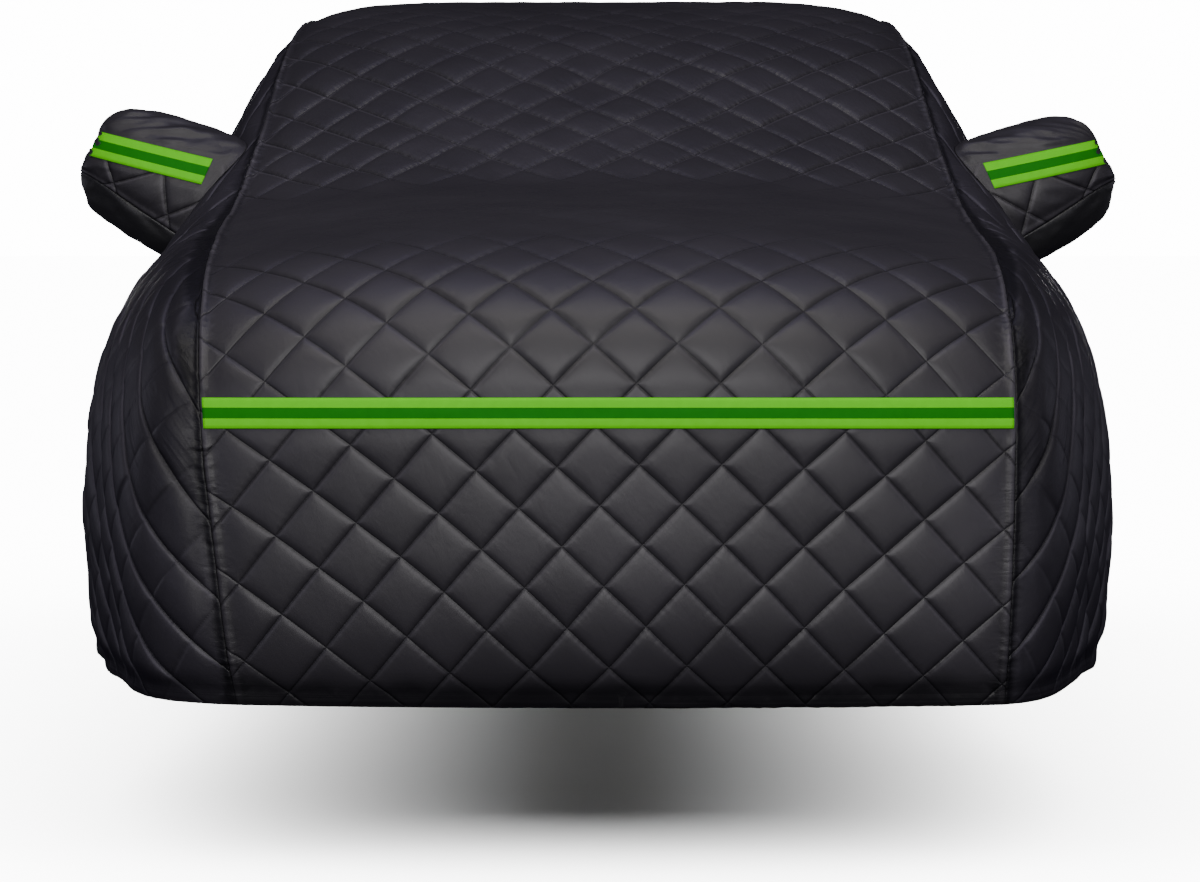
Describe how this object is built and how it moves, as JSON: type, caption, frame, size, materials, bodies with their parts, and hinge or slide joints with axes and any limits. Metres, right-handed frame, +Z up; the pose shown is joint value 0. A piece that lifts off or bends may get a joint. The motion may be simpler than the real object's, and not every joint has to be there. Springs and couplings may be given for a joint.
{
  "type": "fitted quilted car cover",
  "caption": "Hollow quilted cloth cover shaped to a saloon car, with a centre panel, side panels, mirror pockets and reflective tapes.",
  "frame": {"origin": "underside of the cloth at the highest point of the roof, on the cover's middle plane", "axes": "-Y towards the car's nose, +Y towards its tail, +X to the right of a viewer who faces the nose, +Z up"},
  "size_m": [2.0303, 4.6025, 1.2102],
  "materials": {
    "quilted_cloth": "black satin polyester, diamond quilted",
    "plain_cloth": "plain black polyester",
    "tape": "woven reflective tape, bright green with a dark green middle stripe"
  },
  "bodies": {
    "root": {"centre_panel": "quilted_cloth", "side_panel_left": "quilted_cloth", "side_panel_right": "quilted_cloth", "mirror_pocket_left": "quilted_cloth", "mirror_pocket_right": "quilted_cloth", "mirror_gusset_left": "plain_cloth", "mirror_gusset_right": "plain_cloth", "reflective_strip_front": "tape", "reflective_strip_mirror_left": "tape", "reflective_strip_mirror_right": "tape"}
  },
  "joints": []
}
